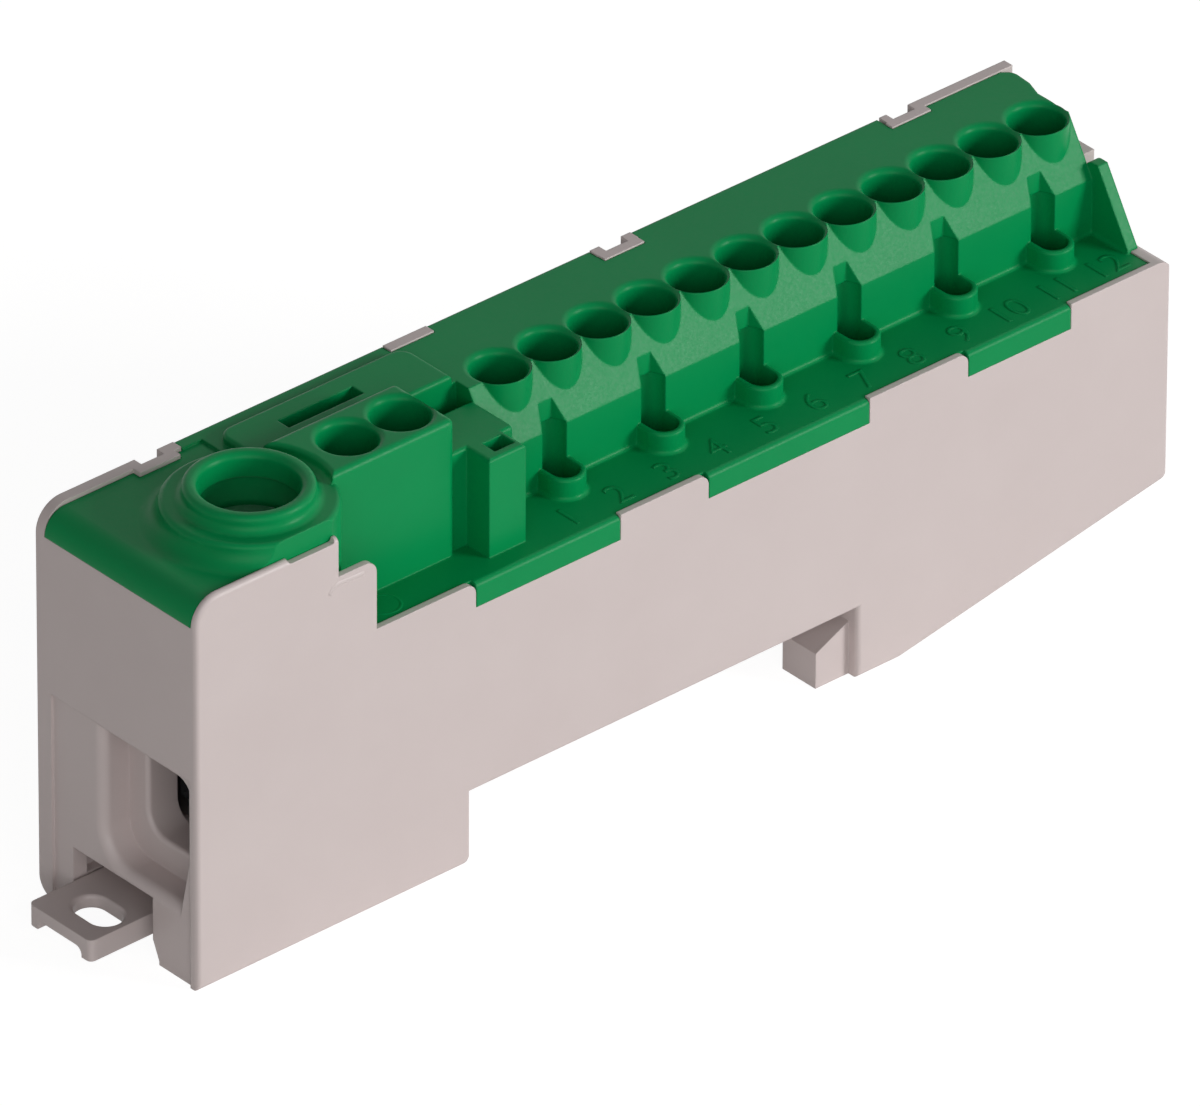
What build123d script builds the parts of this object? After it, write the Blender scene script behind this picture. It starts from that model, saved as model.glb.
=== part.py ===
"""Earth terminal block for a 35 mm rail, with a green cover on a grey housing.

Millimetres. X runs along the block and across the rail, Y from the front face to the back, Z up.
The origin is the middle of the rail seat. Places in this file are measured from the lower left
corner of the front face, and the plane functions below turn them into the part's own frame.
"""

from build123d import *
import os

# Clearances
seat_gap = 0.05
slide_gap = 0.1
rail_gap = 0.15
screw_gap = 0.05

# How near an edge must lie to a place to be picked by it
match = 0.01
near = 0.1

# How far a cut runs past the face that it opens
past_end = 1.0

# How deep a raised form starts inside the one that carries it
root = 1.0

# Wire entries of the row, and the length that follows from them
entry_pitch = 4.5
entry_count = 12
first_entry_x = 35.35
entry_y = 9.55
entry_radius = 2.0
end_margin = 4.15
length = first_entry_x + entry_pitch * (entry_count - 1) + end_margin
entries_x = [first_entry_x + entry_pitch * number for number in range(entry_count)]

# Housing outline
width = 16.6
height = 31.2
foot_rounding = 1.5
top_rounding = 2.15
corner_rounding = 0.6
front_rounding = 0.4

# Rail seat
notch_left = 24.6
notch_width = 35.4
notch_right = notch_left + notch_width
rail_centre = notch_left + notch_width / 2
seat_height = 5.7
rail_edge = 1.0

# Underside between the rail seat and the right end
leg_width = 4.0
taper_start = notch_right + leg_width
taper_rise = 4.5

# Housing walls
front_wall = 1.0
front_lip = 0.5
rear_wall = 0.85
left_wall = 1.2
right_wall = 1.6
cavity_floor = 7.2
ledge_height = 20.5
land_height = 22.5
left_wall_top = 29.05
low_end_depth = 8.1
tall_end_top = 27.55
rear_corner_cut = 0.8

# Shallow step over the lower part of the left end face
step_depth = 0.25
step_top = 16.7
step_front = 0.75
step_rear = 15.2

# Steps of the front wall beside the shoulder
upper_step_x = 12.7
upper_step_drop = 3.1
upper_step_height = height - upper_step_drop
shoulder_end = 16.1
step_rounding = 1.0
land_rounding = 0.85
land_corner = 1.2
land_drop = 2 * land_corner

# Shallow dip in the top of the front wall, in front of the collar
dip_start = 8.3
dip_depth = 0.3
dip_rounding = 0.28

# Notches for the cover's tabs, each from and to along the block
front_tabs = [(25.0, 38.1), (46.1, 60.9), (70.0, 79.6)]
rear_tabs = [(12.2, 31.0), (34.9, 49.8), (53.5, 76.5)]
rear_tab_bottom = 29.3

# Grooves in the rear wall, and the ribs behind them
groove_places = [9.75, 51.65, 78.15]
groove_width = 2.0
groove_depth = 0.75
groove_wall = 0.8
groove_bottom = 18.0

# Wire funnel in the left end
funnel_depth = 2.6
mouth_front = 0.8
mouth_rear = 10.1
mouth_top = 16.4
mouth_bottom = 5.8
mouth_slant_front = 1.9
mouth_slant_top = 11.0
mouth_rounding = 0.8
mouth_corner = 2.5
mouth_top_corner = 1.5
tunnel_depth = 5.2
tunnel_front = 2.4
tunnel_rear = 8.1
tunnel_bottom = 8.1
tunnel_top = 15.6
tunnel_rounding = 1.6
tunnel_edge = 0.35

# Fixed hooks at the right of the rail seat
hook_reach = 3.05
hook_front = 0.93
hook_depth = 3.42
hook_tip_height = 2.85
hook_root_height = 4.3

# Latch and its channel
channel_front = 4.95
channel_rear = 13.3
channel_top = 5.15
channel_flare = 0.65
channel_lip = 0.3
channel_flare_top = 1.8
latch_travel = 3.2
latch_nose = 3.1
nose_slope_start = 0.4
nose_slope_height = 2.0
tab_reach = 4.0
tab_front = 6.5
tab_rear = 13.0
tab_top = 2.6
tab_thickness = 0.95
tab_bottom = 0.9
tab_leg = 0.95
tab_corner = 0.45
tab_arch = 0.6
tab_root = 0.5
slot_length = 4.0
slot_width = 2.5
slot_x = -1.05
slot_y = 9.15
slot_rounding = 0.3
groove_reach = 0.8
guide_bottom = 2.55
guide_height = 1.3
guide_start = 1.5
guide_end = 24.0

# Cover, heights from the feet
floor_top = 22.4
row_top = 31.1
shoulder_top = 30.9
shoulder_rounding = 1.85
round_trim = 0.05
cover_wall = 1.2
cover_tab_rounding = 0.45
row_start = 31.9
row_front = 6.2
slope_bottom = 26.8
slope_top_y = 8.73
barrel_radius = 2.3
entry_rounding = 0.5
entry_depth = 7.6
throat_radius = 1.45
throat_depth = 8.9
feeder_depth = 9.2

# Release pockets, one between the two entries of a pair
pocket_count = 6
pocket_pitch = 2 * entry_pitch
first_pocket_x = first_entry_x + entry_pitch / 2 - 0.1
pocket_front = 5.15
pocket_back = 6.5
pocket_radius = 1.1
pocket_roof = 26.9
guide_back_y = 7.22
guide_back_width = 1.2
guide_root = 0.5
lip_thickness = 0.4
lip_top = 24.0
lip_rounding = 0.2
lip_root = 0.5
floor_cove = 0.3

# Collar over the clamp screw
clamp_x = 10.1
clamp_y = 6.2
collar_bore = 3.5
collar_radius = 4.6
collar_top = 33.85
collar_bottom = 27.5
chamber_radius = 4.1
chamber_top = 32.0
chamber_wall = 0.8
collar_inner_edge = 0.5
collar_outer_edge = 0.4
collar_neck = 0.6
disc_radius = 6.2
disc_top = 32.6
disc_edge = 0.35
disc_wall = 0.7
collar_foot = 1.3

# Raised block with the two feeder entries
block_end = 26.4
block_front = 3.75
block_top = 33.3
block_rounding = 0.5
block_root = 2.0
feeder_x = [19.4, 24.1]
feeder_y = 6.8
feeder_radius = 2.1

# Deck, slab, plate and boss between the raised block and the row
pit_height = 28.8
deck_front = 10.0
slab_start = 14.7
slab_end = 31.5
slab_rear = 15.1
slab_top = 31.7
key_slot = (18.8, 25.5, 12.2, 13.4)
key_slot_depth = 1.6
plate_front = 4.2
plate_rear = 8.4
plate_top = 30.2
boss_start = 27.8
boss_end = 31.1
boss_front = 1.85
# Pocket in the boss, from corner to corner
boss_pocket = (boss_end - 2.2, boss_front + 0.7, boss_end - 0.4, plate_front - 0.3)
plate_rounding = 0.3
slab_edge = 0.3
slab_corner = 1.2
deck_margin = 0.7
boss_pocket_depth = 1.2

# Cores that hollow the cover from below, behind the entries
core_gap = 0.2
core_half_width = 3.9
core_roof = 3.2
deck_wall = 1.0
row_wall = 0.6

# Cheek at the right end of the cover
row_end = length - 1.9
cheek_end = length - 1.0
cheek_foot_y = 2.4
cheek_top_y = 5.65
cheek_top = 28.05
cheek_back_y = 6.6
cheek_back_top = 26.4
cheek_back_foot = 0.4
cheek_back_rounding = 0.6
flare_length = 3.8
flare_bend_length = 2.4
flare_bend = 0.5
flare_reach = 0.7
flare_corner = 1.0
flare_root = 1.0

# Busbar
bar_thickness = 1.6
bar_height = 11.4
bar_start = 15.4
bar_end = row_end - 0.6
bar_front_y = 11.0
feeder_bar_y = 9.0
jog_start = 27.3
jog_end = 30.3
jog_shift = 0.6
tongue_start = 5.2
tongue_width = 5.4
tongue_bottom = 16.6
tongue_thickness = 2.0

# Rails on the housing's floor that hold the busbar, measured from its jog
bar_rail_width = 1.0
bar_rail_height = 1.2
bar_rail_start = 2.0

# Lifting clamp
cage_length = 7.0
cage_inside = 6.4
cage_wall = 1.0
cage_corner = 0.5
cage_floor_bottom = 7.3
cage_floor = 1.3
cage_top_thickness = 3.0
cage_lift = 5.0
cage_ceiling = tongue_bottom + tongue_thickness + seat_gap

# Clamp screw
screw_radius = 2.5
head_radius = 3.8
head_height = 2.2
head_clearance = 0.75
head_bottom = cage_ceiling + cage_top_thickness + cage_lift + head_clearance
drive_slot_width = 1.2
drive_slot_depth = 1.6

# Clamping springs
strip_thickness = 0.35
spring_width = 3.4
spring_foot = cavity_floor + seat_gap + strip_thickness / 2
spring_crown = 19.6
spring_tip = 12.2
spring_reach = 3.6
bend_radius = 1.1

# The lower left corner of the front face, in the part's own frame
left_end = -rail_centre
front_face = -width / 2
underside = -seat_height


def at_height(height_above_feet):
    """A level plane, with X along the block and Y from the front face."""
    return Plane(origin=(left_end, front_face, underside + height_above_feet))


def behind_front(depth):
    """A plane facing the front, with X along the block and Y up."""
    return Plane(origin=(left_end, front_face + depth, underside), x_dir=(1, 0, 0), z_dir=(0, -1, 0))


def across(place):
    """A plane across the block, with X from the front face to the back and Y up."""
    return Plane(origin=(left_end + place, front_face, underside), x_dir=(0, 1, 0), z_dir=(1, 0, 0))


def corner_at(sketch, across_place, up_place):
    """The corner of the open sketch that lies nearest to a place on its plane."""
    target = Vector(across_place, up_place)
    return min(sketch.vertices(), key=lambda corner: (Vector(corner.X, corner.Y) - target).length)


def rectangle(start, low, end, high, rounding=0.0, mode=Mode.ADD):
    """Draw a rectangle between two corners in the sketch that is open."""
    with Locations(((start + end) / 2, (low + high) / 2)):
        if rounding > 0:
            RectangleRounded(end - start, high - low, rounding, mode=mode)
        else:
            Rectangle(end - start, high - low, mode=mode)


# What the cover leaves free inside the housing
cover_left = left_wall + seat_gap
cover_right = length - right_wall - seat_gap
cover_front = front_lip + seat_gap
cover_rear = width - rear_wall - seat_gap
rib_front = width - groove_depth - groove_wall
rib_width = groove_width + 2 * groove_wall

# Housing
with BuildPart() as housing:
    with BuildSketch(behind_front(0)) as outline:
        with BuildLine():
            Polyline(
                (0, 0),
                (notch_left, 0),
                (notch_left, seat_height),
                (notch_right, seat_height),
                (notch_right, 0),
                (taper_start, 0),
                (length, taper_rise),
                (length, height),
                (0, height),
                close=True,
            )
        make_face()
        fillet(corner_at(outline, 0, height), top_rounding)
        fillet(corner_at(outline, notch_left, 0), corner_rounding)
        fillet(corner_at(outline, length, taper_rise), corner_rounding)
    extrude(amount=-width)
    foot_edge = housing.edges().filter_by(Axis.X).group_by(Axis.Z)[0].group_by(Axis.Y)[-1]
    fillet(foot_edge.sort_by(Axis.X)[0], foot_rounding)
    fillet(housing.faces().sort_by(Axis.Y)[0].edges(), front_rounding)

    # The front wall steps down from the shoulder to the land along the row
    with BuildSketch(behind_front(front_lip)) as land_side:
        with BuildLine():
            Polyline(
                (upper_step_x, height),
                (upper_step_x, upper_step_height),
                (shoulder_end, upper_step_height),
                (shoulder_end, land_height),
                (length, land_height),
                (length, land_height - land_drop),
                (length + past_end, land_height - land_drop),
                (length + past_end, height),
                close=True,
            )
        make_face()
        fillet(corner_at(land_side, length, land_height), land_corner)
    extrude(amount=-(low_end_depth - front_lip), mode=Mode.SUBTRACT)
    with BuildSketch(behind_front(0)) as front_top:
        with BuildLine():
            corners = [
                (upper_step_x, height),
                (upper_step_x, upper_step_height),
                (shoulder_end, upper_step_height),
                (shoulder_end, land_height),
            ]
            for start, end in front_tabs:
                corners.append((start, land_height))
                corners.append((start, ledge_height))
                corners.append((end, ledge_height))
                corners.append((end, land_height))
            corners.append((length, land_height))
            corners.append((length, land_height - land_drop))
            corners.append((length + past_end, land_height - land_drop))
            corners.append((length + past_end, height))
            Polyline(*corners, close=True)
        make_face()
        fillet(corner_at(front_top, length, land_height), land_corner)
        fillet(corner_at(front_top, shoulder_end, upper_step_height), step_rounding)
        for start, end in front_tabs:
            fillet(corner_at(front_top, start, land_height), land_rounding)
    extrude(amount=-front_lip, mode=Mode.SUBTRACT)
    with BuildSketch(behind_front(0)) as dip:
        rectangle(dip_start, height - dip_depth, upper_step_x - dip_rounding, height + dip_depth)
        fillet(dip.vertices().group_by(Axis.Y)[0], dip_rounding)
    extrude(amount=-front_lip, mode=Mode.SUBTRACT)
    with BuildSketch(behind_front(low_end_depth)):
        rectangle(row_end, tall_end_top, length, height)
    extrude(amount=-(width - rear_wall - low_end_depth), mode=Mode.SUBTRACT)
    with BuildSketch(behind_front(width)):
        rectangle(length - rear_corner_cut, tall_end_top, length, height)
    extrude(amount=rear_wall, mode=Mode.SUBTRACT)

    # The left end wall stops below the shoulder of the cover
    with BuildSketch(at_height(left_wall_top)):
        rectangle(0, front_lip, left_wall + past_end, width - rear_wall)
    extrude(amount=height - left_wall_top, mode=Mode.SUBTRACT)

    # The space for the clamp, the busbar and the springs
    with BuildSketch(behind_front(front_wall)):
        with BuildLine():
            Polyline(
                (left_wall, height),
                (left_wall, ledge_height),
                (tunnel_depth, ledge_height),
                (tunnel_depth, cavity_floor),
                (length - right_wall, cavity_floor),
                (length - right_wall, height),
                close=True,
            )
        make_face()
    extrude(amount=-(width - rear_wall - front_wall), mode=Mode.SUBTRACT)
    with BuildSketch(at_height(ledge_height)):
        rectangle(left_wall, front_lip, length - right_wall, front_wall)
    extrude(amount=height - ledge_height, mode=Mode.SUBTRACT)

    # Ribs that wrap the grooves in the rear wall
    with BuildSketch(at_height(cavity_floor)):
        for place in groove_places:
            rectangle(place - rib_width / 2, rib_front, place + rib_width / 2, width - rear_wall)
    extrude(amount=height - cavity_floor)
    with BuildSketch(at_height(groove_bottom)):
        for place in groove_places:
            rectangle(place - groove_width / 2, width - groove_depth, place + groove_width / 2, width)
    extrude(amount=height - groove_bottom, mode=Mode.SUBTRACT)

    # Notches for the rear tabs of the cover
    with BuildSketch(at_height(rear_tab_bottom)):
        for start, end in rear_tabs:
            rectangle(start, width - rear_wall, end, width)
    extrude(amount=height - rear_tab_bottom, mode=Mode.SUBTRACT)

    # Rails that hold the busbar on the floor
    with BuildSketch(at_height(cavity_floor)):
        for low in (bar_front_y - seat_gap - bar_rail_width, bar_front_y + bar_thickness + seat_gap):
            rectangle(jog_end + bar_rail_start, low, length - right_wall, low + bar_rail_width)
    extrude(amount=bar_rail_height)

    # Shallow step of the end face, then the wire funnel: a wide mouth and a narrower way through
    with BuildSketch(across(0)):
        rectangle(step_front, 0, step_rear, step_top)
    extrude(amount=step_depth, mode=Mode.SUBTRACT)
    with BuildSketch(across(0)) as mouth:
        with BuildLine():
            Polyline(
                (mouth_front, mouth_slant_top),
                (mouth_slant_front, mouth_bottom),
                (mouth_rear, mouth_bottom),
                (mouth_rear, mouth_top),
                (mouth_front, mouth_top),
                close=True,
            )
        make_face()
        fillet(corner_at(mouth, mouth_rear, mouth_bottom), mouth_corner)
        fillet(corner_at(mouth, mouth_front, mouth_top), mouth_top_corner)
    extrude(amount=funnel_depth, mode=Mode.SUBTRACT)
    # The edge of the mouth is well rounded along its rear and its bottom
    mouth_edges = housing.edges().filter_by_position(
        Axis.X, left_end + step_depth - match, left_end + step_depth + match
    )
    rear_edge = mouth_edges.filter_by(Axis.Z).filter_by_position(
        Axis.Y, front_face + mouth_rear - match, front_face + mouth_rear + match
    )
    fillet(rear_edge, mouth_rounding)
    with BuildSketch(across(funnel_depth)):
        rectangle(tunnel_front, tunnel_bottom, tunnel_rear, tunnel_top, tunnel_rounding)
    extrude(amount=tunnel_depth - funnel_depth, mode=Mode.SUBTRACT)
    way_in = housing.edges().filter_by_position(
        Axis.X, left_end + funnel_depth - match, left_end + funnel_depth + match
    ).filter_by_position(
        Axis.Y, front_face + tunnel_front - match, front_face + tunnel_rear + match
    ).filter_by_position(Axis.Z, underside + tunnel_bottom - match, underside + tunnel_top + match)
    fillet(way_in, tunnel_edge)

    # Channel of the latch, open below, with a groove along each side that carries it
    with BuildSketch(across(0)):
        with BuildLine():
            Polyline(
                (channel_front - channel_flare, 0),
                (channel_front - channel_flare, channel_lip),
                (channel_front, channel_flare_top),
                (channel_front, channel_top),
                (channel_rear, channel_top),
                (channel_rear, 0),
                close=True,
            )
        make_face()
    extrude(amount=notch_left, mode=Mode.SUBTRACT)
    with BuildSketch(at_height(guide_bottom)):
        rectangle(
            guide_start,
            channel_front - groove_reach,
            guide_end + slide_gap,
            channel_rear + groove_reach,
        )
    extrude(amount=guide_height, mode=Mode.SUBTRACT)

    # Fixed hooks that go under the right edge of the rail
    for hook_place, hook_run in ((hook_front, -hook_depth), (width - hook_front, hook_depth)):
        with BuildSketch(behind_front(hook_place)):
            with BuildLine():
                Polyline(
                    (notch_right - hook_reach, 0),
                    (notch_right, 0),
                    (notch_right, hook_root_height),
                    (notch_right - hook_reach, hook_tip_height),
                    close=True,
                )
            make_face()
        extrude(amount=hook_run)
housing.part.label = "housing"

# Raised block of the two feeder entries
with BuildPart() as feeder_block:
    with BuildSketch(at_height(ledge_height)) as block_plan:
        rectangle(shoulder_end - block_root, block_front, block_end, deck_front)
        fillet(block_plan.vertices().group_by(Axis.X)[-1], block_rounding)
    extrude(amount=block_top - ledge_height)
    fillet(feeder_block.faces().sort_by(Axis.Z)[-1].edges(), block_rounding)


def shoulder_plan(left, wall, round_wall):
    """Draw the plan of the shoulder or, with walls given, of the room inside it.

    Right of the clamp, the front of the shoulder follows the round disc of the collar.
    """
    front = cover_front + wall
    rectangle(left, front, clamp_x, cover_rear - wall)
    rectangle(clamp_x, clamp_y, shoulder_end - wall, cover_rear - wall)
    with Locations((clamp_x, clamp_y)):
        Circle(disc_radius - round_wall)
    rectangle(0, front - disc_radius, shoulder_end, front, mode=Mode.SUBTRACT)


# Collar and its disc, turned about the screw axis and trimmed to the shoulder
clamp_axis = Axis((left_end + clamp_x, front_face + clamp_y, 0), (0, 0, 1))
clamp_section = Plane(
    origin=(left_end + clamp_x, front_face + clamp_y, underside), x_dir=(1, 0, 0), z_dir=(0, -1, 0)
)
with BuildPart() as collar:
    with BuildSketch(clamp_section):
        with BuildLine():
            Polyline(
                (disc_radius + collar_foot, shoulder_top),
                (disc_radius + collar_foot, left_wall_top),
                (chamber_radius + chamber_wall, left_wall_top),
                (chamber_radius + chamber_wall, collar_bottom),
                (chamber_radius, collar_bottom),
                (chamber_radius, chamber_top),
                (collar_bore, chamber_top),
                (collar_bore, collar_top - collar_inner_edge),
            )
            RadiusArc(
                (collar_bore, collar_top - collar_inner_edge),
                (collar_bore + collar_inner_edge, collar_top),
                collar_inner_edge,
            )
            Line(
                (collar_bore + collar_inner_edge, collar_top),
                (collar_radius - collar_outer_edge, collar_top),
            )
            RadiusArc(
                (collar_radius - collar_outer_edge, collar_top),
                (collar_radius, collar_top - collar_outer_edge),
                collar_outer_edge,
            )
            Line((collar_radius, collar_top - collar_outer_edge), (collar_radius, disc_top + collar_neck))
            RadiusArc(
                (collar_radius, disc_top + collar_neck),
                (collar_radius + collar_neck, disc_top),
                -collar_neck,
            )
            Line((collar_radius + collar_neck, disc_top), (disc_radius - disc_edge, disc_top))
            RadiusArc((disc_radius - disc_edge, disc_top), (disc_radius, disc_top - disc_edge), disc_edge)
            Line((disc_radius, disc_top - disc_edge), (disc_radius, shoulder_top + collar_foot))
            RadiusArc(
                (disc_radius, shoulder_top + collar_foot),
                (disc_radius + collar_foot, shoulder_top),
                -collar_foot,
            )
        make_face()
    revolve(axis=clamp_axis)
    with BuildSketch(at_height(collar_bottom)):
        shoulder_plan(0, 0, 0)
    extrude(amount=collar_top - collar_bottom, mode=Mode.INTERSECT)

# Soft run from the disc up to the top of the raised block
run_rounding = (block_top - disc_top) / 2
run_start = disc_radius - 2 * run_rounding
run_middle = disc_radius - run_rounding
with BuildPart() as run_up:
    with BuildSketch(clamp_section):
        with BuildLine():
            Polyline(
                (disc_radius, block_top),
                (disc_radius, left_wall_top),
                (run_start, left_wall_top),
                (run_start, disc_top),
            )
            RadiusArc((run_start, disc_top), (run_middle, disc_top + run_rounding), -run_rounding)
            RadiusArc((run_middle, disc_top + run_rounding), (disc_radius, block_top), run_rounding)
        make_face()
    revolve(axis=clamp_axis)
    add(feeder_block.part, mode=Mode.INTERSECT)

# Shoulder over the left end wall
with BuildPart() as shoulder:
    with BuildSketch(behind_front(cover_front)) as shoulder_side:
        with BuildLine():
            Polyline(
                (0, left_wall_top),
                (cover_left, left_wall_top),
                (cover_left, ledge_height),
                (shoulder_end, ledge_height),
                (shoulder_end, shoulder_top),
                (0, shoulder_top),
                close=True,
            )
        make_face()
        left_corner = shoulder_side.vertices().group_by(Axis.Y)[-1].sort_by(Axis.X)[0]
        fillet(left_corner, shoulder_rounding - round_trim)
    extrude(amount=-(cover_rear - cover_front))
    with BuildSketch(at_height(ledge_height)):
        shoulder_plan(0, 0, 0)
    extrude(amount=shoulder_top - ledge_height, mode=Mode.INTERSECT)


def entry_cutter(radius, depth, floor_depth):
    """The shape that one wire entry takes out of the cover, with its mouth at the origin."""
    with BuildPart() as cutter:
        with BuildSketch(Plane.XZ):
            with BuildLine():
                Polyline(
                    (radius + entry_rounding, 0),
                    (radius + entry_rounding, past_end),
                    (0, past_end),
                    (0, -floor_depth - past_end),
                    (throat_radius, -floor_depth - past_end),
                    (throat_radius, -depth - throat_depth + entry_depth),
                    (radius, -depth),
                    (radius, -entry_rounding),
                )
                RadiusArc((radius, -entry_rounding), (radius + entry_rounding, 0), entry_rounding)
            make_face()
        revolve(axis=Axis.Z)
    return cutter.part


row_cutter = entry_cutter(entry_radius, entry_depth, row_top - ledge_height)
feeder_cutter = entry_cutter(feeder_radius, feeder_depth, block_top - ledge_height)

# Cover
with BuildPart() as terminal_cover:
    # Floor plate, resting on the ledge of the front wall
    with BuildSketch(at_height(ledge_height)):
        rectangle(cover_left, cover_front, cover_right, cover_rear)
        for start, end in front_tabs:
            rectangle(start + seat_gap, 0, end - seat_gap, cover_front)
    extrude(amount=floor_top - ledge_height)
    tab_edges = terminal_cover.faces().sort_by(Axis.Z)[-1].edges().filter_by(Axis.X).group_by(Axis.Y)[0]
    fillet(tab_edges, cover_tab_rounding)

    # Row of wire entries, with a sloping front and a barrel round each entry
    with BuildSketch(across(row_start)):
        with BuildLine():
            Polyline(
                (row_front, ledge_height),
                (row_front, slope_bottom),
                (slope_top_y, row_top),
                (cover_rear, row_top),
                (cover_rear, ledge_height),
                close=True,
            )
        make_face()
    extrude(amount=row_end - row_start)
    with BuildSketch(at_height(slope_bottom)):
        for place in entries_x:
            with Locations((place, entry_y)):
                Circle(barrel_radius)
    extrude(amount=row_top - slope_bottom)

    # Cheek at the right end, standing on the end wall of the housing in front of its tall part
    with BuildSketch(across(row_end)) as cheek:
        with BuildLine():
            Polyline(
                (cheek_foot_y, land_height + seat_gap),
                (cheek_top_y, cheek_top),
                (cheek_back_y, cheek_top),
                (low_end_depth - cheek_back_foot, cheek_back_top),
                (low_end_depth - seat_gap, cheek_back_top),
                (low_end_depth - seat_gap, land_height + seat_gap),
                close=True,
            )
        make_face()
        fillet(corner_at(cheek, cheek_back_y, cheek_top), cheek_back_rounding)
    extrude(amount=cheek_end - row_end)
    with BuildSketch(across(row_end)):
        rectangle(cheek_foot_y, ledge_height, low_end_depth, land_height + seat_gap)
        rectangle(low_end_depth - seat_gap, ledge_height, cover_rear, tall_end_top)
    extrude(amount=cover_right - row_end)

    # The top of the row widens over the tall end wall towards the rear
    flare_front_y = cover_rear - flare_length
    with BuildSketch(at_height(tall_end_top + seat_gap)) as flare:
        with BuildLine():
            Polyline(
                (row_end - flare_root, flare_front_y),
                (row_end, flare_front_y),
                (row_end + flare_bend, cover_rear - flare_bend_length),
                (row_end + flare_reach, cover_rear),
                (row_end - flare_root, cover_rear),
                close=True,
            )
        make_face()
        fillet(corner_at(flare, row_end + flare_reach, cover_rear), flare_corner)
    extrude(amount=row_top - tall_end_top - seat_gap)
    with BuildSketch(at_height(tall_end_top)):
        rectangle(row_end - flare_root, flare_front_y, cover_right, cover_rear)
    extrude(amount=seat_gap)

    # Shoulder, deck between it and the row, and the slab on the deck
    add(shoulder.part)

    with BuildSketch(behind_front(deck_front)):
        with BuildLine():
            Polyline(
                (slab_start - deck_margin, ledge_height),
                (row_start, ledge_height),
                (row_start, row_top),
                (slab_start - deck_margin, row_top),
                close=True,
            )
        make_face()
    extrude(amount=-(cover_rear - deck_front))
    with BuildSketch(at_height(row_top - root)) as slab:
        rectangle(slab_start, deck_front, slab_end, slab_rear)
        fillet(slab.vertices().group_by(Axis.Y)[-1], slab_corner)
    extrude(amount=slab_top - row_top + root)
    slab_rim = terminal_cover.faces().filter_by(Axis.Z).sort_by(Axis.Z)[-1].edges()
    fillet(slab_rim, slab_edge)
    with BuildSketch(at_height(ledge_height)):
        rectangle(shoulder_end, plate_front, row_start, deck_front)
    extrude(amount=pit_height - ledge_height)
    with BuildSketch(at_height(ledge_height)):
        rectangle(block_end - root, plate_front, row_start, plate_rear)
        rectangle(boss_start, boss_front, boss_end, plate_front)
    extrude(amount=plate_top - ledge_height)
    plate_edges = terminal_cover.edges().filter_by_position(
        Axis.Z, underside + plate_top - match, underside + plate_top + match
    ).filter_by_position(Axis.Y, front_face + boss_front - near, front_face + plate_front + near)
    fillet(plate_edges.filter_by_position(Axis.X, left_end + block_end, left_end + row_start), plate_rounding)
    add(feeder_block.part)

    # Half round lips at the release pockets
    with BuildSketch(at_height(floor_top - lip_root)):
        for number in range(pocket_count):
            place = first_pocket_x + pocket_pitch * number
            with Locations((place, pocket_front)):
                Circle(pocket_radius + lip_thickness)
            rectangle(
                place - pocket_radius - lip_thickness,
                pocket_front,
                place + pocket_radius + lip_thickness,
                row_front,
            )
    extrude(amount=lip_top - floor_top + lip_root)
    lip_edges = terminal_cover.edges().filter_by_position(
        Axis.Z, underside + lip_top - match, underside + lip_top + match
    )
    fillet(lip_edges.filter_by(lambda edge: edge.center().Y < front_face + row_front - near), lip_rounding)
    foot_edges = terminal_cover.edges().filter_by_position(
        Axis.Z, underside + floor_top - match, underside + floor_top + match
    ).filter_by_position(Axis.Y, front_face + pocket_front - 2, front_face + row_front + near)
    fillet(foot_edges.filter_by_position(Axis.X, left_end + row_start + near, left_end + row_end), floor_cove)

    # Tabs that reach the back face
    with BuildSketch(at_height(rear_tab_bottom)):
        for start, end in rear_tabs:
            rectangle(start + seat_gap, cover_rear, end - seat_gap, width)
    extrude(amount=row_top - rear_tab_bottom)

    # Room for the clamp under the shoulder, then the collar over it
    with BuildSketch(at_height(ledge_height)):
        shoulder_plan(cover_left + cover_wall, cover_wall, disc_wall)
    extrude(amount=left_wall_top - ledge_height, mode=Mode.SUBTRACT)
    with BuildSketch(at_height(left_wall_top)):
        with Locations((clamp_x, clamp_y)):
            Circle(disc_radius)
    extrude(amount=collar_top - left_wall_top, mode=Mode.SUBTRACT)
    add(collar.part)
    add(run_up.part)

    # Wire entries
    with Locations([(left_end + place, front_face + entry_y, underside + row_top) for place in entries_x]):
        add(row_cutter, mode=Mode.SUBTRACT)
    with Locations([(left_end + place, front_face + feeder_y, underside + block_top) for place in feeder_x]):
        add(feeder_cutter, mode=Mode.SUBTRACT)

    # Release pockets, open through the floor to the springs, each with a tapered guide up the slope
    with BuildSketch(at_height(ledge_height)):
        for number in range(pocket_count):
            place = first_pocket_x + pocket_pitch * number
            with Locations((place, pocket_front), (place, pocket_back)):
                Circle(pocket_radius)
            rectangle(place - pocket_radius, pocket_front, place + pocket_radius, pocket_back)
    extrude(amount=pocket_roof - ledge_height, mode=Mode.SUBTRACT)
    with BuildSketch(at_height(pocket_roof)):
        for number in range(pocket_count):
            place = first_pocket_x + pocket_pitch * number
            with BuildLine():
                Polyline(
                    (place - pocket_radius, row_front - guide_root),
                    (place - pocket_radius, row_front),
                    (place - guide_back_width / 2, guide_back_y),
                    (place + guide_back_width / 2, guide_back_y),
                    (place + pocket_radius, row_front),
                    (place + pocket_radius, row_front - guide_root),
                    close=True,
                )
            make_face()
    extrude(amount=row_top - pocket_roof, mode=Mode.SUBTRACT)

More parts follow.
